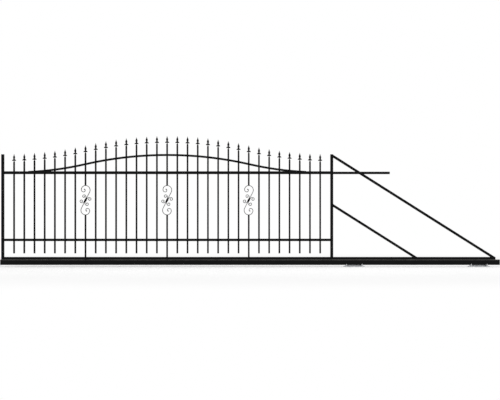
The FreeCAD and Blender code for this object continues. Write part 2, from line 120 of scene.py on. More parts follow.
class GateEdgeSettings(bpy.types.PropertyGroup):
    """How far the long edges are rounded."""
    tube: FloatProperty(
        name="Tube corners", description="Corner rounding of the square tubes", unit="LENGTH",
        default=2.6 * MM, min=0)
    lip: FloatProperty(
        name="Rail lips", description="Easing of the running rail's long edges", unit="LENGTH",
        default=0.6 * MM, min=0)
    bar: FloatProperty(
        name="Bar corners", description="Corner rounding of the pickets and the arch", unit="LENGTH",
        default=1.0 * MM, min=0)
    strip: FloatProperty(
        name="Strip corners", description="Rounding of the bent scroll strips", unit="LENGTH",
        default=1.8 * MM, min=0)
    moulding: FloatProperty(
        name="Cap corners", description="Rounding of the plastic caps", unit="LENGTH",
        default=0.7 * MM, min=0)
    plate: FloatProperty(
        name="Plate corners", description="Rounding of the carriage plates and webs", unit="LENGTH",
        default=0.8 * MM, min=0)


class GateSpearSettings(bpy.types.PropertyGroup):
    """Sizes of a forged spear head."""
    bud_width: FloatProperty(
        name="Bud width", description="Widest part of the pointed bud", unit="LENGTH",
        default=26 * MM, min=MM)
    wing_span: FloatProperty(
        name="Wing span", description="From one wing tip to the other", unit="LENGTH",
        default=46 * MM, min=MM)
    neck_width: FloatProperty(
        name="Neck width", description="Round neck between the wings and the picket", unit="LENGTH",
        default=12 * MM, min=MM)


class GateScrollSettings(bpy.types.PropertyGroup):
    """Sizes of the rolled ends of the scrolls."""
    large_roll: FloatProperty(
        name="Large roll", description="Radius of the rolled ends of the S strips", unit="LENGTH",
        default=6.5 * MM, min=MM)
    small_roll: FloatProperty(
        name="Small roll", description="Radius of the rolled ends of the side scrolls", unit="LENGTH",
        default=5.0 * MM, min=MM)


class GateWeldSettings(bpy.types.PropertyGroup):
    """Sizes of the weld beads."""
    bead_radius: FloatProperty(
        name="Bead radius", description="Half the width of a weld bead", unit="LENGTH",
        default=2.3 * MM, min=0.1 * MM)
    ripple: FloatProperty(
        name="Ripple pitch", description="From one ripple of a bead to the next", unit="LENGTH",
        default=2.8 * MM, min=0.5 * MM)
    stitch_length: FloatProperty(
        name="Stitch length", description="Length of each weld between a tube and the rail", unit="LENGTH",
        default=45 * MM, min=MM)
    stitch_pitch: FloatProperty(
        name="Stitch pitch", description="From one of those welds to the next", unit="LENGTH",
        default=300 * MM, min=10 * MM)


class GateHardwareSettings(bpy.types.PropertyGroup):
    """Sizes of the carriages' bolts."""
    anchor_radius: FloatProperty(
        name="Anchor radius", description="Half the diameter of an anchor stud", unit="LENGTH",
        default=6 * MM, min=MM)
    anchor_flats: FloatProperty(
        name="Anchor nut", description="Across the flats of an anchor nut", unit="LENGTH",
        default=18 * MM, min=MM)
    axle_flats: FloatProperty(
        name="Axle bolt head", description="Across the flats of an axle bolt", unit="LENGTH",
        default=24 * MM, min=MM)


class GateStageSettings(bpy.types.PropertyGroup):
    """Camera, floor and light."""
    camera_distance: FloatProperty(
        name="Camera distance", description="From the camera to the gate", unit="LENGTH",
        default=19.0, min=1)
    camera_height: FloatProperty(
        name="Camera height", description="Height of the level camera", unit="LENGTH",
        default=0.804, min=0)
    picture_width: FloatProperty(
        name="Picture width", description="Width of the picture at the gate", unit="LENGTH",
        default=6.0005, min=0.1)
    floor: FloatVectorProperty(
        name="Floor", description="Colour of the floor", subtype="COLOR", default=(0.94, 0.94, 0.94),
        min=0, max=1)
    clear_floor: FloatProperty(
        name="Clear floor", description="Distance from the gate at which the floor turns plain white",
        unit="LENGTH", default=4.5, min=1)
    white_share: FloatProperty(
        name="White share", description="How much of plain white is in the floor beside the gate",
        subtype="FACTOR", default=0.3, min=0, max=1)
    lamp_height: FloatProperty(
        name="Lamp height", description="Height of the lamp over the gate", unit="LENGTH",
        default=4.2, min=1)
    lamp_strength: FloatProperty(
        name="Lamp strength", description="Brightness of the lamp's face", default=4.5, min=0)
    sky: FloatProperty(
        name="Sky", description="Brightness of the light from all round", default=0.7, min=0)


class GateSettings(bpy.types.PropertyGroup):
    """All the gate's settings."""
    finish: PointerProperty(type=GateFinishSettings)
    edges: PointerProperty(type=GateEdgeSettings)
    spears: PointerProperty(type=GateSpearSettings)
    scrolls: PointerProperty(type=GateScrollSettings)
    welds: PointerProperty(type=GateWeldSettings)
    hardware: PointerProperty(type=GateHardwareSettings)
    stage: PointerProperty(type=GateStageSettings)


def settings():
    """The scene's gate settings."""
    return bpy.context.scene.driveway_gate


# Shapes

TURNED_RING = 40
NUT_RING = 36
NUT_FACE = 0.97  # of the radius at the flats, where the turned corners end
NUT_SLOPE = math.radians(30)
BEAD_RING = 8
BEAD_LEAST_STEPS = 8
BEAD_STEPS_PER_RIPPLE = 4
BEAD_SWELL = 0.10  # of a bead's radius, at the crest of a ripple
BEAD_TIP = 0.05  # of a bead's section, at its ends


def ring_of(centre, across, along, count, reach):
    """Points about a centre; reach gives the distances along the two directions at an angle."""
    points = []
    for step in range(count):
        angle = 2 * math.pi * step / count
        first, second = reach(angle)
        points.append(centre + across * first + along * second)
    return points


def super_ellipse(half_width, half_depth, roundness):
    """A section between a diamond, at 1, a round, at 2, and a square, well above 2."""
    power = 2 / roundness

    def reach(angle):
        across, along = math.cos(angle), math.sin(angle)
        return (half_width * math.copysign(abs(across) ** power, across),
                half_depth * math.copysign(abs(along) ** power, along))
    return reach


def round_section(radius):
    """A circle."""
    return super_ellipse(radius, radius, 2)


def hexagon(flats, limit):
    """A hexagon across its flats, turned down to a limiting radius at its corners."""
    def reach(angle):
        off_flat = (angle + math.pi / 6) % (math.pi / 3) - math.pi / 6
        radius = min(flats / 2 / math.cos(off_flat), limit)
        return radius * math.cos(angle), radius * math.sin(angle)
    return reach


def skin(shape, rings):
    """Join rings of points into a closed surface with a face on each end."""
    rows = [[shape.verts.new(point) for point in ring] for ring in rings]
    for first, second in zip(rows, rows[1:]):
        for at in range(len(first)):
            shape.faces.new((first[at - 1], first[at], second[at], second[at - 1]))
    shape.faces.new(list(reversed(rows[0])))
    shape.faces.new(rows[-1])


def sideways(axis):
    """Two directions square to an axis and to each other."""
    across = axis.orthogonal().normalized()
    return across, axis.cross(across)


def turned(shape, foot, axis, profile, count=TURNED_RING):
    """A body of round sections, given as (radius, height) along an axis from its foot."""
    across, along = sideways(axis)
    skin(shape, [ring_of(foot + axis * height, across, along, count, round_section(radius))
                 for radius, height in profile])


def nut(shape, foot, axis, flats, height):
    """A hexagon nut or bolt head whose corners are turned down at both ends."""
    across, along = sideways(axis)
    corner = flats / 2 / math.cos(math.pi / 6)
    low = flats / 2 * NUT_FACE
    bite = (corner - low) * math.tan(NUT_SLOPE)
    levels = [(low, 0), ((low + corner) / 2, bite / 2), (corner, bite),
              (corner, height - bite), ((low + corner) / 2, height - bite / 2), (low, height)]
    skin(shape, [ring_of(foot + axis * level, across, along, NUT_RING, hexagon(flats, limit))
                 for limit, level in levels])


def bead(shape, start, end, radius, ripple):
    """A weld bead from one point to another, with a ripple and rounded ends."""
    axis = (end - start).normalized()
    across, along = sideways(axis)
    length = (end - start).length
    steps = max(BEAD_LEAST_STEPS, round(BEAD_STEPS_PER_RIPPLE * length / ripple))
    rings = []
    for step in range(steps + 1):
        at = step / steps
        from_end = min(at, 1 - at) * length
        taper = math.sqrt(max(BEAD_TIP, 1 - max(0.0, 1 - from_end / radius) ** 2))
        swell = 1 + BEAD_SWELL * math.cos(2 * math.pi * at * length / ripple)
        section = round_section(radius * taper * swell)
        rings.append(ring_of(start + axis * (at * length), across, along, BEAD_RING, section))
    skin(shape, rings)


def smooth_rows(rows, steps):
    """Rows of numbers joined by a smooth curve, with some steps between one row and the next."""
    result = []
    for at in range(len(rows) - 1):
        before, first = rows[max(at - 1, 0)], rows[at]
        second, after = rows[at + 1], rows[min(at + 2, len(rows) - 1)]
        for step in range(steps):
            t = step / steps
            weights = (-t / 2 + t**2 - t**3 / 2, 1 - 2.5 * t**2 + 1.5 * t**3,
                       t / 2 + 2 * t**2 - 1.5 * t**3, -t**2 / 2 + t**3 / 2)
            result.append([sum(weight * value for weight, value in zip(weights, values))
                           for values in zip(before, first, second, after)])
    result.append(list(rows[-1]))
    return result


def new_mesh(name, shape):
    """A mesh from a shape, smooth except at its sharp edges."""
    bmesh.ops.recalc_face_normals(shape, faces=shape.faces)
    mesh = bpy.data.meshes.new(name)
    shape.to_mesh(mesh)
    shape.free()
    mesh.shade_smooth()
    mesh.set_sharp_from_angle(angle=SHADE_ANGLE)
    return mesh


def new_object(name, data):
    """An object in the scene."""
    item = bpy.data.objects.new(name, data)
    bpy.context.scene.collection.objects.link(item)
    return item


def new_piece(name, shape, make, body, stands_for=()):
    """A piece of the gate with a finish, which moves with a body."""
    mesh = new_mesh(name, shape)
    mesh.materials.append(finish(make))
    piece = new_object(name, mesh)
    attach(piece, body)
    if stands_for:
        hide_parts(*stands_for)


def clusters(node, gap):
    """Low and high corners of each of a node's solids, which stand apart along X by more than a gap."""
    vertices = frame["nodes"][node].data.vertices
    points = sorted((vertex.co.copy() for vertex in vertices), key=lambda point: point.x)
    groups = [[points[0]]]
    for point in points[1:]:
        if point.x - groups[-1][-1].x > gap:
            groups.append([])
        groups[-1].append(point)
    return [(Vector(map(min, zip(*group))), Vector(map(max, zip(*group)))) for group in groups]


# Geometry of the CAD nodes' edges

def geometry_tree(name):
    """A geometry node tree with its input and output, and the calls that add a node and a link to it."""
    tree = bpy.data.node_groups.new(name, "GeometryNodeTree")
    for way in ("INPUT", "OUTPUT"):
        tree.interface.new_socket("Geometry", in_out=way, socket_type="NodeSocketGeometry")
    node, link = tree.nodes.new, tree.links.new
    return tree, node("NodeGroupInput"), node("NodeGroupOutput"), node, link


def more_than(node, limit=0.0):
    """A node that tells whether its A is more than its B, which is the limit unless it is linked."""
    compare = node("FunctionNodeCompare")
    compare.operation = "GREATER_THAN"
    compare.inputs["B"].default_value = limit
    return compare


def joined_corners():
    """Nodes that join split corners and drop stored normals."""
    tree, source, result, node, link = geometry_tree("joined_corners")
    last = source.outputs["Geometry"]
    for name in ("custom_normal", "sharp_edge", "sharp_face"):
        remove = node("GeometryNodeRemoveAttribute")
        remove.inputs["Name"].default_value = name
        link(last, remove.inputs["Geometry"])
        last = remove.outputs["Geometry"]
    merge = node("GeometryNodeMergeByDistance")
    merge.inputs["Distance"].default_value = JOIN_GAP
    link(last, merge.inputs["Geometry"])
    link(merge.outputs["Geometry"], result.inputs["Geometry"])
    return tree


def weighed_edges():
    """Nodes that mark the outer edges over a least length, for rounding."""
    tree, source, result, node, link = geometry_tree("weighed_edges")
    least = tree.interface.new_socket("Least length", in_out="INPUT", socket_type="NodeSocketFloat")
    outer, lengthy = more_than(node, EDGE_ANGLE), more_than(node)
    link(node("GeometryNodeInputMeshEdgeAngle").outputs["Signed Angle"], outer.inputs["A"])
    ends = node("GeometryNodeInputMeshEdgeVertices")
    length = node("ShaderNodeVectorMath")
    length.operation = "DISTANCE"
    link(ends.outputs["Position 1"], length.inputs[0])
    link(ends.outputs["Position 2"], length.inputs[1])
    link(length.outputs["Value"], lengthy.inputs["A"])
    link(source.outputs["Least length"], lengthy.inputs["B"])
    both = node("FunctionNodeBooleanMath")
    both.operation = "AND"
    link(outer.outputs["Result"], both.inputs[0])
    link(lengthy.outputs["Result"], both.inputs[1])
    store = node("GeometryNodeStoreNamedAttribute")
    store.data_type = "FLOAT"
    store.domain = "EDGE"
    store.inputs["Name"].default_value = "bevel_weight_edge"
    link(source.outputs["Geometry"], store.inputs["Geometry"])
    link(both.outputs["Boolean"], store.inputs["Value"])
    link(store.outputs["Geometry"], result.inputs["Geometry"])
    return tree, least.identifier


def smoothed_faces():
    """Nodes that shade faces smooth, except across sharp edges."""
    tree, source, result, node, link = geometry_tree("smoothed_faces")
    faces = node("GeometryNodeSetShadeSmooth")
    edges = node("GeometryNodeSetShadeSmooth")
    edges.domain = "EDGE"
    edges.inputs["Shade Smooth"].default_value = False
    sharp = more_than(node, SHADE_ANGLE)
    link(node("GeometryNodeInputMeshEdgeAngle").outputs["Unsigned Angle"], sharp.inputs["A"])
    link(sharp.outputs["Result"], edges.inputs["Selection"])
    link(source.outputs["Geometry"], faces.inputs["Geometry"])
    link(faces.outputs["Geometry"], edges.inputs["Geometry"])
    link(edges.outputs["Geometry"], result.inputs["Geometry"])
    return tree


EDGE_SEGMENTS = 3
LONG_EDGE = 100 * MM
EDGE_TREES = {"corners": joined_corners(), "weights": weighed_edges(), "shading": smoothed_faces()}


def finish_node(node, make, rounding, least_length=0.0):
    """Give a CAD node its finish, and round its outer edges over a least length."""
    piece = frame["nodes"][node]
    piece.material_slots[0].material = finish(make)
    piece.modifiers.new("joined_corners", "NODES").node_group = EDGE_TREES["corners"]
    flat = piece.modifiers.new("flat_faces", "DECIMATE")
    flat.decimate_type = "DISSOLVE"
    flat.angle_limit = FLAT_ANGLE
    weigh = piece.modifiers.new("weighed_edges", "NODES")
    weigh.node_group, least = EDGE_TREES["weights"]
    weigh[least] = least_length
    bevel = piece.modifiers.new("rounded_edges", "BEVEL")
    bevel.limit_method = "WEIGHT"
    bevel.width = rounding
    bevel.segments = EDGE_SEGMENTS
    bevel.use_clamp_overlap = False
    piece.modifiers.new("smoothed_faces", "NODES").node_group = EDGE_TREES["shading"]


# Finishes

class Finish:
    """A material under way: its shader, and the nodes that vary its colour, gloss and relief."""

    def __init__(self, name, roughness, metallic=0.0, gloss=0.5):
        self.material = bpy.data.materials.new(name)
        self.material.use_nodes = True
        self.nodes = self.material.node_tree.nodes
        self.links = self.material.node_tree.links
        self.shader = self.nodes["Principled BSDF"]
        self.shader.inputs["Roughness"].default_value = roughness
        self.shader.inputs["Metallic"].default_value = metallic
        self.shader.inputs["Specular IOR Level"].default_value = gloss
        self.place = self.nodes.new("ShaderNodeTexCoord").outputs["Object"]
        self.relief_below = None

    def stretched(self, scale):
        """Coordinates scaled along X, Y and Z."""
        mapping = self.nodes.new("ShaderNodeMapping")
        mapping.inputs["Scale"].default_value = scale
        self.links.new(self.place, mapping.inputs["Vector"])
        return mapping.outputs["Vector"]

    def noise(self, per_metre, detail, place=None):
        """A cloudy pattern of so many features per metre."""
        node = self.nodes.new("ShaderNodeTexNoise")
        node.inputs["Scale"].default_value = per_metre
        node.inputs["Detail"].default_value = detail
        self.links.new(place or self.place, node.inputs["Vector"])
        return node.outputs["Fac"]

    def cells(self, per_metre, smooth=False):
        """A pattern of cells: distances from their middles."""
        node = self.nodes.new("ShaderNodeTexVoronoi")
        node.inputs["Scale"].default_value = per_metre
        if smooth:
            node.feature = "SMOOTH_F1"
        self.links.new(self.place, node.inputs["Vector"])
        return node.outputs["Distance"]

    def ranged(self, value, low, high, from_low=0.3, from_high=0.7, soft=False):
        """A value fitted into a range, with soft ends where asked for."""
        node = self.nodes.new("ShaderNodeMapRange")
        if soft:
            node.interpolation_type = "SMOOTHSTEP"
        node.inputs["From Min"].default_value = from_low
        node.inputs["From Max"].default_value = from_high
        node.inputs["To Min"].default_value = low
        node.inputs["To Max"].default_value = high
        self.links.new(value, node.inputs["Value"])
        return node.outputs["Result"]

    def mixed(self, colour, value):
        """Make the shader's colour a mix that a value turns to a colour, and give the input for the other."""
        mix = self.nodes.new("ShaderNodeMix")
        mix.data_type = "RGBA"
        mix.inputs["B"].default_value = (*colour, 1)
        self.links.new(value, mix.inputs["Factor"])
        self.links.new(mix.outputs["Result"], self.shader.inputs["Base Color"])
        return mix.inputs["A"]

    def clouded(self, colour, dark, light, per_metre, detail):
        """A colour made darker and lighter in clouds."""
        clouds = self.ranged(self.noise(per_metre, detail), 0, 1)
        self.mixed(shade(colour, light), clouds).default_value = (*shade(colour, dark), 1)

    def film(self, colour, value):
        """A film of another colour over the one below, as thick as a value."""
        below = self.shader.inputs["Base Color"].links[0].from_socket
        self.links.new(below, self.mixed(colour, value))

    def upward(self, low, high):
        """How far a face looks up: none at one upright share of its normal, and all at another."""
        share = self.nodes.new("ShaderNodeSeparateXYZ")
        normal = self.nodes.new("ShaderNodeNewGeometry").outputs["Normal"]
        self.links.new(normal, share.inputs["Vector"])
        return self.ranged(share.outputs["Z"], 0, 1, low, high)

    def times(self, first, second):
        """One value times another."""
        node = self.nodes.new("ShaderNodeMath")
        node.operation = "MULTIPLY"
        self.links.new(first, node.inputs[0])
        self.links.new(second, node.inputs[1])
        return node.outputs["Value"]

    def roughness(self, value, low, high, *span):
        """Roughness that goes from low to high with a value."""
        self.links.new(self.ranged(value, low, high, *span), self.shader.inputs["Roughness"])

    def relief(self, value, depth, strength):
        """Fine relief of a depth in metres, over any given before."""
        bump = self.nodes.new("ShaderNodeBump")
        bump.inputs["Strength"].default_value = strength
        bump.inputs["Distance"].default_value = depth
        self.links.new(value, bump.inputs["Height"])
        if self.relief_below:
            self.links.new(self.relief_below, bump.inputs["Normal"])
        self.relief_below = bump.outputs["Normal"]
        self.links.new(self.relief_below, self.shader.inputs["Normal"])


def shade(colour, factor):
    """A colour made darker or lighter."""
    return tuple(min(1.0, channel * factor) for channel in colour)


COAT_GLOSS = 0.09
PLASTIC_GLOSS = 0.16
# Where the rail's film of road dust and painted highlight fades in on upward faces, and how thin it is
# between its patches
DUST_HIGHLIGHT_NONE, DUST_HIGHLIGHT_ALL = 0.02, 0.7  # upright shares of a face's normal
DUST_HIGHLIGHT_THIN = 0.55  # of the film, between its patches


def satin_black(name):
    """Satin black powder coat under way: a faint orange peel, with slightly uneven gloss."""
    coat = Finish(name, 0.4, gloss=COAT_GLOSS)
    coat.clouded(settings().finish.coat, 0.7, 1.4, 9, 5)
    coat.roughness(coat.noise(55, 3), 0.34, 0.48)
    coat.relief(coat.noise(380, 1), 0.12 * MM, 0.5)
    coat.relief(coat.noise(1500, 2), 0.03 * MM, 0.4)
    return coat


def powder_coat():
    """The coat of the tubes and pickets."""
    return satin_black("satin_black_coat").material


def rail_coat():
    """The coat of the running rail, with a lighter film on what looks up: partly road dust, partly a painted
    highlight of the overhead light on its top corner.
    """
    coat = satin_black("black_coat_dust_and_highlight")
    patches = coat.ranged(coat.noise(12, 6), DUST_HIGHLIGHT_THIN, 1)
    # Painted highlight as well as dust: faces that look up, and the rail's top corner, turn lighter in
    # patches
    coat.film(settings().finish.dust_and_highlight, coat.times(coat.upward(DUST_HIGHLIGHT_NONE, DUST_HIGHLIGHT_ALL), patches))
    return coat.material


def forged_coat():
    """Black paint over hammered, forged steel."""
    coat = Finish("forged_black_coat", 0.42, gloss=COAT_GLOSS)
    coat.clouded(settings().finish.forged, 0.65, 1.6, 40, 4)
    coat.roughness(coat.noise(120, 3), 0.36, 0.54)
    coat.relief(coat.cells(150, smooth=True), 0.5 * MM, 0.5)
    coat.relief(coat.noise(900, 2), 0.06 * MM, 0.5)
    return coat.material


def weld_coat():
    """The same coat over weld metal, with a rougher skin."""
    coat = Finish("coated_weld", 0.45, gloss=COAT_GLOSS)
    coat.clouded(settings().finish.coat, 0.8, 1.5, 300, 3)
    coat.roughness(coat.noise(500, 2), 0.38, 0.55)
    coat.relief(coat.noise(1100, 3), 0.12 * MM, 0.6)
    return coat.material


def cap_plastic():
    """Moulded black plastic with a fine spark-eroded grain."""
    plastic = Finish("black_moulded_plastic", 0.55, gloss=PLASTIC_GLOSS)
    plastic.clouded(settings().finish.plastic, 0.85, 1.25, 25, 3)
    plastic.roughness(plastic.noise(700, 2), 0.48, 0.62)
    plastic.relief(plastic.noise(2600, 2), 0.05 * MM, 0.6)
    return plastic.material


def zinc_plate():
    """Zinc plated steel: small spangles, soft clouds and a rolled grain."""
    zinc = Finish("zinc_plated_steel", 0.4, metallic=1.0)
    zinc.clouded(settings().finish.zinc, 0.8, 1.2, 60, 6)
    zinc.roughness(zinc.cells(420), 0.3, 0.5, 0.0, 0.6)
    zinc.relief(zinc.noise(30, 3, zinc.stretched((1, 40, 40))), 0.02 * MM, 0.3)
    zinc.relief(zinc.noise(1300, 2), 0.006 * MM, 0.4)
    return zinc.material


def roller_steel():
    """Ground steel, with fine turning marks and a film of grease."""
    steel = Finish("ground_roller_steel", 0.3, metallic=1.0)
    steel.clouded(settings().finish.roller, 0.6, 1.15, 70, 4)
    steel.roughness(steel.noise(45, 4), 0.2, 0.42)
    steel.relief(steel.noise(60, 1, steel.stretched((1, 45, 1))), 0.03 * MM, 0.35)
    return steel.material


FINISHES = {}


def finish(make):
    """A finish, made the first time that it is asked for."""
    if make not in FINISHES:
        FINISHES[make] = make()
    return FINISHES[make]


# Spear heads

SPEAR_RING = 20
SPEAR_STEPS = 3
WING_DROP = 77 * MM
WING_ROUNDNESS = 1.6


def spear_mesh():
    """A forged head, tip at 0: a spiked bud, a collar with drooping wings, a neck and a square foot."""
    sizes = settings().spears
    bud, neck = sizes.bud_width / 2, sizes.neck_width / 2
    low, high = clusters(BAYS[0], sizes.wing_span)[0]
    foot = (high.x - low.x) / 2
    # Drop below the tip, half width, half depth and roundness of each section
    sections = [(0.0, 0.5 * MM, 0.5 * MM, 2.0),
                (3 * MM, 0.08 * bud + 0.5 * MM, 0.08 * bud + 0.4 * MM, 1.7),
                (18 * MM, 0.40 * bud, 0.30 * bud, 1.4),
                (32 * MM, 0.82 * bud, 0.58 * bud, 1.3),
                (43 * MM, bud, 0.70 * bud, 1.3),
                (54 * MM, 0.84 * bud, 0.60 * bud, 1.4),
                (66 * MM, 1.42 * neck, 1.15 * neck, 1.8),
                (WING_DROP, 1.50 * neck, 1.35 * neck, 2.0),
                (87 * MM, 0.94 * neck, 0.94 * neck, 2.2),
                (91 * MM, 1.00 * neck, 1.00 * neck, 3.0),
                (96 * MM, 0.86 * foot, 0.86 * foot, 5.0),
                (100 * MM, foot, foot, 9.0)]
    blade = bmesh.new()
    skin(blade, [ring_of(-drop * UP, ALONG, ACROSS, SPEAR_RING,
                         super_ellipse(half_width, half_depth, roundness))
                 for drop, half_width, half_depth, roundness in smooth_rows(sections, SPEAR_STEPS)])

    reach = sizes.wing_span / 2
    # Place along the span, rise above the wings' line, half height and half depth of each section
    half = [(0.0, 3.0 * MM, 10.0 * MM, 1.25 * neck),
            (0.40 * reach, 2.4 * MM, 8.8 * MM, 1.15 * neck),
            (0.70 * reach, -0.2 * MM, 7.0 * MM, 0.95 * neck),
            (0.90 * reach, -3.2 * MM, 4.8 * MM, 0.65 * neck),
            (reach, -6.0 * MM, 2.0 * MM, 0.28 * neck)]
    whole = [(-at, rise, tall, deep) for at, rise, tall, deep in reversed(half[1:])] + half
    rows = smooth_rows(whole, SPEAR_STEPS)
    line = [Vector((at, 0, rise - WING_DROP)) for at, rise, *_ in rows]
    rings = []
    for number, (point, (*_, tall, deep)) in enumerate(zip(line, rows)):
        heading = (line[min(number + 1, len(line) - 1)] - line[max(number - 1, 0)]).normalized()
        section = super_ellipse(tall, deep, WING_ROUNDNESS)
        rings.append(ring_of(point, heading.cross(ACROSS), ACROSS, SPEAR_RING, section))
    wings = bmesh.new()
    skin(wings, rings)
    return union("spear_head", new_mesh("spear_blade", blade), new_mesh("spear_wings", wings))


def union(name, first, second):
    """Two closed meshes joined into one skin."""
    base, tool = new_object(name + "_base", first), new_object(name + "_tool", second)
    join = base.modifiers.new("union", "BOOLEAN")
    join.operation = "UNION"
    join.object = tool
    mesh = bpy.data.meshes.new_from_object(base.evaluated_get(bpy.context.evaluated_depsgraph_get()))
    for item in (base, tool):
        bpy.data.objects.remove(item)
    shape = bmesh.new()
    shape.from_mesh(mesh)
    bmesh.ops.remove_doubles(shape, verts=shape.verts, dist=JOIN_GAP)
    bmesh.ops.dissolve_degenerate(shape, dist=JOIN_GAP, edges=shape.edges)
    shape.to_mesh(mesh)
    shape.free()
    return mesh


class GATE_OT_forge_spears(bpy.types.Operator):
    """Put a forged head on each picket"""
    bl_idname = "gate.forge_spears"
    bl_label = "Forge Spear Heads"

    def execute(self, context):
        head = spear_mesh()
        for node in SPEAR_NODES:
            shape = bmesh.new()
            for low, high in clusters(node, settings().spears.wing_span):
                start = len(shape.verts)
                shape.from_mesh(head)
                shape.verts.ensure_lookup_table()
                tip = Vector(((low.x + high.x) / 2, (low.y + high.y) / 2, high.z))
                bmesh.ops.translate(shape, vec=tip, verts=shape.verts[start:])
            new_piece("forged_" + node, shape, forged_coat, LEAF, [node])
        return {"FINISHED"}


# Coats and caps

class GATE_OT_coat_tubes(bpy.types.Operator):
    """Coat the frame's square tubes and round their corners"""
    bl_idname = "gate.coat_tubes"
    bl_label = "Coat Tubes"

    def execute(self, context):
        for node in TUBES:
            finish_node(node, powder_coat, settings().edges.tube, LONG_EDGE)
        return {"FINISHED"}


class GATE_OT_coat_rail(bpy.types.Operator):
    """Coat the running rail and ease the lips of its mouth"""
    bl_idname = "gate.coat_rail"
    bl_label = "Coat Running Rail"

    def execute(self, context):
        finish_node("running_rail", rail_coat, settings().edges.lip, LONG_EDGE)
        return {"FINISHED"}


class GATE_OT_coat_bars(bpy.types.Operator):
    """Coat the pickets, the scroll bars and the arch"""
    bl_idname = "gate.coat_bars"
    bl_label = "Coat Pickets and Arch"

    def execute(self, context):
        for node in BARS:
            finish_node(node, powder_coat, settings().edges.bar)
        return {"FINISHED"}


class GATE_OT_coat_scrolls(bpy.types.Operator):
    """Coat the bent strips and collars of the scroll ornaments"""
    bl_idname = "gate.coat_scrolls"
    bl_label = "Coat Scrolls"

    def execute(self, context):
        for node in STRIPS:
            finish_node(node, forged_coat, settings().edges.strip)
        finish_node("scroll_collars", forged_coat, settings().edges.moulding)
        return {"FINISHED"}


CURL_LENGTH = 12 * MM
FLANK_SHARE = 0.5  # of a normal along Y, over which a face is a strip's flank
ROLL_PROUD = 0.8 * MM
ROLL_RING = 24
ROUND_SHARE = 0.3  # of an edge's easing, half way round it


def strip_ends(node):
    """Middle of each end of a node's strips, the side that it curls to, and the thickness there."""
    shape = bmesh.new()
    shape.from_mesh(frame["nodes"][node].data)
    bmesh.ops.remove_doubles(shape, verts=shape.verts, dist=JOIN_GAP)
    bmesh.ops.dissolve_limit(shape, angle_limit=FLAT_ANGLE, verts=shape.verts, edges=shape.edges)
    low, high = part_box(node)
    ends = []
    for face in shape.faces:
        bent = any(edge.calc_face_angle(0) < EDGE_ANGLE for edge in face.edges)
        if bent or abs(face.normal.y) > FLANK_SHARE:
            continue
        middle, side = face.calc_center_median(), face.normal.cross(ACROSS)
        last = [vert.co - middle for vert in shape.verts if (vert.co - middle).length < CURL_LENGTH]
        if sum(step.dot(side) for step in last) < 0:
            side = -side
        ends.append((middle, side, face.calc_area() / (high.y - low.y)))
    shape.free()
    return ends


class GATE_OT_roll_scroll_ends(bpy.types.Operator):
    """Roll the free ends of the scrolls into small solid knobs"""
    bl_idname = "gate.roll_scroll_ends"
    bl_label = "Roll Scroll Ends"

    def execute(self, context):
        sizes = settings().scrolls
        ease = settings().edges.strip
        shape = bmesh.new()
        for node, radius in (("s_scrolls", sizes.large_roll), ("side_scrolls", sizes.small_roll)):
            low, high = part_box(node)
            width = high.y - low.y + 2 * ROLL_PROUD
            part = ROUND_SHARE * ease
            profile = [(radius - ease, 0), (radius - part, part), (radius, ease),
                       (radius, width - ease), (radius - part, width - part), (radius - ease, width)]
            for middle, side, thickness in strip_ends(node):
                foot = middle + side * (radius - thickness / 2)
                foot.y = low.y - ROLL_PROUD
                turned(shape, foot, ACROSS, profile, ROLL_RING)
        new_piece("rolled_scroll_ends", shape, forged_coat, LEAF)
        return {"FINISHED"}


class GATE_OT_mould_caps(bpy.types.Operator):
    """Give the end caps their moulded finish"""
    bl_idname = "gate.mould_caps"
    bl_label = "Mould Caps"

    def execute(self, context):
        for node in CAPS:
            finish_node(node, cap_plastic, settings().edges.moulding)
        return {"FINISHED"}


# Welds

BEAD_PROUD = 0.3  # of a bead's radius
WELD_MARGIN = 2 * MM
BAR_GAP = 60 * MM
ARCH_PROBE = 5 * MM


def seam(shape, start, end):
    """A bead that is as wide as the welds' setting."""
    sizes = settings().welds
    bead(shape, start, end, sizes.bead_radius, sizes.ripple)


def crossing_beads(shape, low, high, bottom, top, depth):
    """Upright beads on both sides of a bar, where it crosses a rail between two heights."""
    proud = BEAD_PROUD * settings().welds.bead_radius
    for side in (low.x - proud, high.x + proud):
        seam(shape, Vector((side, depth - proud, bottom + WELD_MARGIN)),
             Vector((side, depth - proud, top - WELD_MARGIN)))


def arch_heights(place, depth):
    """Underside and top of the arch at a place, or nothing beyond its ends."""
    arch = frame["nodes"]["arch_rail"]
    above, below = Vector((place, depth, CAD_BOX[1].z)), Vector((place, depth, CAD_BOX[0].z))
    hit, top = arch.ray_cast(above, -UP)[:2]
    if not hit:
        return None
    return arch.ray_cast(below, UP)[1].z, top.z


class GATE_OT_lay_picket_welds(bpy.types.Operator):
    """Weld the pickets and scroll bars to the rails and the arch behind them"""
    bl_idname = "gate.lay_picket_welds"
    bl_label = "Weld Pickets"

    def execute(self, context):
        arch_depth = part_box("arch_rail")[0].y
        for node in BAYS + ["scroll_bars"]:
            shape = bmesh.new()
            for low, high in clusters(node, BAR_GAP):
                for rail in ("lower_rail", "top_rail"):
                    rail_low, rail_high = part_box(rail)
                    crossing_beads(shape, low, high, rail_low.z, rail_high.z, rail_low.y)
                heights = arch_heights((low.x + high.x) / 2, arch_depth + ARCH_PROBE)
                if heights:
                    crossing_beads(shape, low, high, *heights, arch_depth)
            new_piece("welds_" + node, shape, weld_coat, LEAF)
        return {"FINISHED"}


def stitch_welds(shape, tube):
    """Short welds along both sides of a tube, where it lies on the running rail."""
    sizes = settings().welds
    low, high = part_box(tube)
    count = round((high.x - low.x) / sizes.stitch_pitch)
    pitch = (high.x - low.x) / count
    for number in range(count):
        middle = low.x + (number + 0.5) * pitch
        for side in (low.y, high.y):
            seam(shape, Vector((middle - sizes.stitch_length / 2, side, low.z)),
                 Vector((middle + sizes.stitch_length / 2, side, low.z)))


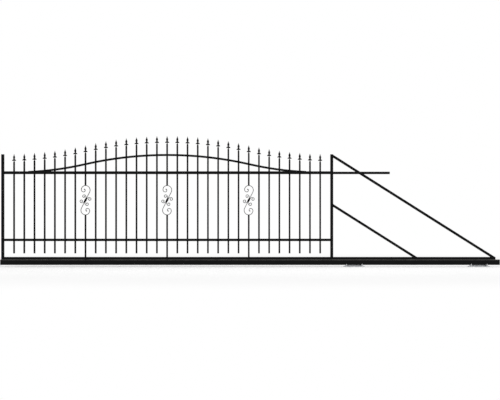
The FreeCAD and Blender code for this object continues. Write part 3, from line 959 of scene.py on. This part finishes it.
def stile_welds(shape, rail, stile, joint):
    """Upright welds on both faces of a rail, where it meets a stile at a place along X."""
    low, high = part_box(rail)
    for side in (low.y, min(high.y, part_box(stile)[1].y)):
        seam(shape, Vector((joint, side, low.z + WELD_MARGIN)), Vector((joint, side, high.z - WELD_MARGIN)))


def brace_welds(shape, brace):
    """Welds round a brace's two ends: on the stile, and on the tail tube."""
    low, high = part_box(brace)
    points = [vertex.co for vertex in frame["nodes"][brace].data.vertices]
    head = [point for point in points if point.x < low.x + MM]
    toe = [point for point in points if point.z < low.z + MM]
    top, bottom = max(point.z for point in head), min(point.z for point in head)
    far, near = max(point.x for point in toe), min(point.x for point in toe)
    for side in (low.y, high.y):
        seam(shape, Vector((low.x, side, bottom)), Vector((low.x, side, top)))
        seam(shape, Vector((near, side, low.z)), Vector((far, side, low.z)))


class GATE_OT_lay_frame_welds(bpy.types.Operator):
    """Weld the frame's tubes to the rail, the stiles and each other"""
    bl_idname = "gate.lay_frame_welds"
    bl_label = "Weld Frame"

    def execute(self, context):
        shape = bmesh.new()
        for tube in ("bottom_tube", "tail_tube"):
            stitch_welds(shape, tube)
        for rail in ("bottom_tube", "lower_rail", "top_rail"):
            low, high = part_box(rail)
            stile_welds(shape, rail, "left_stile", low.x)
            stile_welds(shape, rail, "right_stile", high.x)
        for brace in ("long_brace", "short_brace"):
            brace_welds(shape, brace)
        stile_welds(shape, "tail_tube", "right_stile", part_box("tail_tube")[0].x)
        stile_welds(shape, "guide_bar", "right_stile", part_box("guide_bar")[0].x)
        new_piece("welds_frame", shape, weld_coat, LEAF)
        return {"FINISHED"}


class GATE_OT_lay_scroll_welds(bpy.types.Operator):
    """Weld the scroll ornaments to the bars above and below them, and the bars to the bottom tube"""
    bl_idname = "gate.lay_scroll_welds"
    bl_label = "Weld Scrolls"

    def execute(self, context):
        shape = bmesh.new()
        scroll_low, scroll_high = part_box("s_scrolls")
        tube_low, tube_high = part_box("bottom_tube")
        for low, high in clusters("scroll_bars", BAR_GAP):
            for level in (scroll_low.z, scroll_high.z):
                for side in (scroll_low.y, scroll_high.y):
                    seam(shape, Vector((low.x, side, level)), Vector((high.x, side, level)))
            crossing_beads(shape, low, high, tube_low.z, tube_high.z, tube_low.y)
        new_piece("welds_scrolls", shape, weld_coat, LEAF)
        return {"FINISHED"}


# Carriages

FOOT_WELD_INSET = 4 * MM
FOOT_WELD_RADIUS = 3 * MM
FOOT_WELD_RIPPLE = 4 * MM
ROLLER_GAP = 5 * MM
ROLLER_RING = 56
ROLLER_EASE = 1.2 * MM
SHIELD_REACH = 0.72  # of a roller's radius
SHIELD_DISH = 1.2 * MM
SHIELD_LIP = 0.5 * MM
HUB_FOOT, HUB_TOP = 0.60, 0.58  # of the shield's reach
AXLE_HEAD = 5.5 * MM
WASHER = 2 * MM
WASHER_EASE = 0.4 * MM
ANCHOR_NUT = 9 * MM
STUD_RING = 24
THREAD_TURNS = 8
THREAD_PITCH = 1.75 * MM
THREAD_DEPTH = 0.6 * MM
STUD_POINT = 1.6 * MM


class GATE_OT_plate_carriages(bpy.types.Operator):
    """Plate the carriages' feet and webs"""
    bl_idname = "gate.plate_carriages"
    bl_label = "Plate Carriages"

    def execute(self, context):
        shape = bmesh.new()
        for side in SIDES:
            for name in ("foot_plate", "web"):
                finish_node(f"{side}_{name}", zinc_plate, settings().edges.plate)
            low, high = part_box(f"{side}_web")
            for face in (low.y, high.y):
                bead(shape, Vector((low.x + FOOT_WELD_INSET, face, low.z)),
                     Vector((high.x - FOOT_WELD_INSET, face, low.z)), FOOT_WELD_RADIUS, FOOT_WELD_RIPPLE)
        new_piece("welds_carriages", shape, zinc_plate, CARRIAGES)
        return {"FINISHED"}


def roller_places():
    """Middle of each roller's inner face, the way that it points, its radius and its width."""
    places = []
    low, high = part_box("rollers")
    radius, half = (high.z - low.z) / 2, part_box("front_web")[1].y
    for cluster_low, cluster_high in clusters("rollers", ROLLER_GAP):
        middle = (cluster_low.x + cluster_high.x) / 2
        for face in (-1, 1):
            foot = Vector((middle, face * half, (low.z + high.z) / 2))
            places.append((foot, face * ACROSS, radius, high.y - half))
    return places


class GATE_OT_turn_rollers(bpy.types.Operator):
    """Turn the rollers, with a shield over each bearing, and bolt them through the web"""
    bl_idname = "gate.turn_rollers"
    bl_label = "Turn Rollers"

    def execute(self, context):
        wheels, bolts = bmesh.new(), bmesh.new()
        flats = settings().hardware.axle_flats
        for foot, axis, radius, width in roller_places():
            rim, shield, floor = radius - ROLLER_EASE, SHIELD_REACH * radius, width - SHIELD_DISH
            turned(wheels, foot, axis,
                   [(rim, 0), (radius, ROLLER_EASE), (radius, width - ROLLER_EASE), (rim, width),
                    (shield, width), (shield - SHIELD_LIP, floor), (HUB_FOOT * shield, floor),
                    (HUB_TOP * shield, width)], ROLLER_RING)
            nut(bolts, foot + axis * width, axis, flats, AXLE_HEAD)
        new_piece("turned_rollers", wheels, roller_steel, CARRIAGES, ["rollers"])
        new_piece("axle_bolts", bolts, zinc_plate, CARRIAGES)
        return {"FINISHED"}


def anchor(shape, foot):
    """A washer, a nut and the threaded end of a stud, from the plate up."""
    sizes = settings().hardware
    radius, rim = sizes.anchor_radius, 2 * sizes.anchor_radius
    root = radius - THREAD_DEPTH
    turned(shape, foot, UP, [(rim - WASHER_EASE, 0), (rim, WASHER_EASE),
                             (rim, WASHER - WASHER_EASE), (rim - WASHER_EASE, WASHER)])
    nut(shape, foot + UP * WASHER, UP, sizes.anchor_flats, ANCHOR_NUT)
    threads = [(root, WASHER)]
    for turn in range(THREAD_TURNS):
        level = WASHER + ANCHOR_NUT + turn * THREAD_PITCH
        threads += [(root, level), (radius, level + THREAD_PITCH / 2)]
    top = threads[-1][1]
    threads += [(root, top + THREAD_PITCH / 2), (radius - STUD_POINT, top + THREAD_PITCH)]
    turned(shape, foot, UP, threads, STUD_RING)


class GATE_OT_anchor_feet(bpy.types.Operator):
    """Anchor each foot plate with four studs, washers and nuts"""
    bl_idname = "gate.anchor_feet"
    bl_label = "Anchor Feet"

    def execute(self, context):
        shape = bmesh.new()
        for mount in frame["record"]["mounts"]:
            if mount["kind"] != "bolt_pattern":
                continue
            centre, dims = Vector(mount["pos_m"]), mount["dims"]
            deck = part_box(mount["name"].replace("_bolts", "_plate"))[1].z
            for across in (-1, 1):
                for deep in (-1, 1):
                    foot = centre + Vector((across * dims["spacing_x_mm"] * MM / 2,
                                            deep * dims["spacing_y_mm"] * MM / 2, deck))
                    anchor(shape, foot)
        new_piece("anchors", shape, zinc_plate, CARRIAGES)
        return {"FINISHED"}


# Stage

FLOOR_OVAL = (0.55, 1, 1)
FLOOR_REACH = 60
FLOOR_GLOSS = 0.1
FLOOR_MOTTLE = 0.015
FADE_START, FADE_END = 0.3, 1.15  # of the clear floor's distance
LAMP_FORWARD = 0.9
LAMP_WIDTH, LAMP_DEPTH = 10, 0.9
LAMP_AIM = 0.6
SENSOR_WIDTH = 36
FAR_SIGHT = 500


def mix_shaders(tree, share, first, second, output):
    """Show a mix of two shaders, with more of the second for a larger share."""
    mix = tree.nodes.new("ShaderNodeMixShader")
    for source, target in zip((share, first, second), mix.inputs):
        tree.links.new(source, target)
    tree.links.new(mix.outputs["Shader"], tree.nodes[output].inputs["Surface"])


def floor_finish():
    """Pale matt floor that keeps the gate's shadow, and is plain white further off."""
    floor = Finish("pale_floor", 0.9, gloss=FLOOR_GLOSS)
    stage = settings().stage
    floor.clouded(stage.floor, 1 - FLOOR_MOTTLE, 1 + FLOOR_MOTTLE, 2, 4)
    distance = floor.nodes.new("ShaderNodeVectorMath")
    distance.operation = "LENGTH"
    floor.links.new(floor.stretched(FLOOR_OVAL), distance.inputs[0])
    far = floor.ranged(distance.outputs["Value"], stage.white_share, 1, FADE_START * stage.clear_floor,
                       FADE_END * stage.clear_floor, soft=True)
    rays = floor.nodes.new("ShaderNodeLightPath")
    seen = floor.times(far, rays.outputs["Is Camera Ray"])
    white = floor.nodes.new("ShaderNodeEmission")
    mix_shaders(floor.material.node_tree, seen, floor.shader.outputs["BSDF"], white.outputs["Emission"],
                "Material Output")
    return floor.material


def soft_light(name, place, aim, width, depth, radiance):
    """A rectangular lamp that points at a place."""
    lamp = bpy.data.lights.new(name, "AREA")
    lamp.shape = "RECTANGLE"
    lamp.size = width
    lamp.size_y = depth
    lamp.energy = radiance * math.pi * width * depth
    item = new_object(name, lamp)
    item.location = place
    item.rotation_euler = (aim - place).to_track_quat("-Z", "Y").to_euler()


def studio_world():
    """White where it is seen or mirrored, and a softer white as light."""
    world = bpy.data.worlds.new("studio")
    world.use_nodes = True
    nodes, links = world.node_tree.nodes, world.node_tree.links
    soft, white = nodes["Background"], nodes.new("ShaderNodeBackground")
    for light in (soft, white):
        light.inputs["Color"].default_value = (1, 1, 1, 1)
    soft.inputs["Strength"].default_value = settings().stage.sky
    rays = nodes.new("ShaderNodeLightPath")
    seen = rays.outputs["Is Camera Ray"]
    for output in ("Is Glossy Ray", "Is Transmission Ray"):
        either = nodes.new("ShaderNodeMath")
        either.operation = "MAXIMUM"
        links.new(seen, either.inputs[0])
        links.new(rays.outputs[output], either.inputs[1])
        seen = either.outputs["Value"]
    mix_shaders(world.node_tree, seen, soft.outputs["Background"], white.outputs["Background"],
                "World Output")
    bpy.context.scene.world = world


class GATE_OT_set_stage(bpy.types.Operator):
    """Set the floor, the studio light and the camera"""
    bl_idname = "gate.set_stage"
    bl_label = "Set Stage"

    def execute(self, context):
        stage = settings().stage
        middle = (CAD_BOX[0] + CAD_BOX[1]) / 2
        mesh = bpy.data.meshes.new("studio_floor")
        corners = [(x * FLOOR_REACH, y * FLOOR_REACH, 0) for x, y in ((-1, -1), (1, -1), (1, 1), (-1, 1))]
        mesh.from_pydata(corners, [], [range(len(corners))])
        mesh.materials.append(floor_finish())
        floor = new_object("studio_floor", mesh)
        floor.location = (middle.x, middle.y, CAD_BOX[0].z)

        studio_world()
        soft_light("overhead_strip", Vector((middle.x, -LAMP_FORWARD, stage.lamp_height)),
                   Vector((middle.x, 0, LAMP_AIM)), LAMP_WIDTH, LAMP_DEPTH, stage.lamp_strength)

        camera = bpy.data.cameras.new("camera")
        camera.sensor_width = SENSOR_WIDTH
        camera.lens = camera.sensor_width * stage.camera_distance / stage.picture_width
        camera.clip_end = FAR_SIGHT
        item = new_object("camera", camera)
        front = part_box("running_rail")[0].y
        item.location = (middle.x, front - stage.camera_distance, stage.camera_height)
        item.rotation_euler = (math.pi / 2, 0, 0)
        context.scene.camera = item
        context.scene.view_settings.view_transform = "Standard"
        return {"FINISHED"}


class GATE_PT_gate(bpy.types.Panel):
    """The gate's steps"""
    bl_idname = "GATE_PT_gate"
    bl_label = "Sliding Gate"
    bl_space_type = "VIEW_3D"
    bl_region_type = "UI"
    bl_category = "Gate"

    def draw(self, context):
        for group in GateSettings.__annotations__:
            values = getattr(context.scene.driveway_gate, group)
            box = self.layout.box()
            for name in values.__annotations__:
                box.prop(values, name)
        for operator in OPERATORS:
            self.layout.operator(operator.bl_idname)


OPERATORS = (GATE_OT_coat_rail, GATE_OT_coat_tubes, GATE_OT_coat_bars, GATE_OT_coat_scrolls,
             GATE_OT_roll_scroll_ends, GATE_OT_forge_spears, GATE_OT_mould_caps,
             GATE_OT_lay_picket_welds, GATE_OT_lay_frame_welds, GATE_OT_lay_scroll_welds,
             GATE_OT_plate_carriages, GATE_OT_turn_rollers, GATE_OT_anchor_feet, GATE_OT_set_stage)
CLASSES = (GateFinishSettings, GateEdgeSettings, GateSpearSettings, GateScrollSettings, GateWeldSettings,
           GateHardwareSettings, GateStageSettings, GateSettings, *OPERATORS, GATE_PT_gate)


def register():
    """Make the classes and the settings known."""
    for item in CLASSES:
        bpy.utils.register_class(item)
    bpy.types.Scene.driveway_gate = PointerProperty(type=GateSettings)


def unregister():
    """Take the classes and the settings away."""
    del bpy.types.Scene.driveway_gate
    for item in reversed(CLASSES):
        bpy.utils.unregister_class(item)


def main():
    """Run every step."""
    register()
    for operator in OPERATORS:
        group, name = operator.bl_idname.split(".")
        getattr(getattr(bpy.ops, group), name)()


if __name__ == "__main__":
    main()
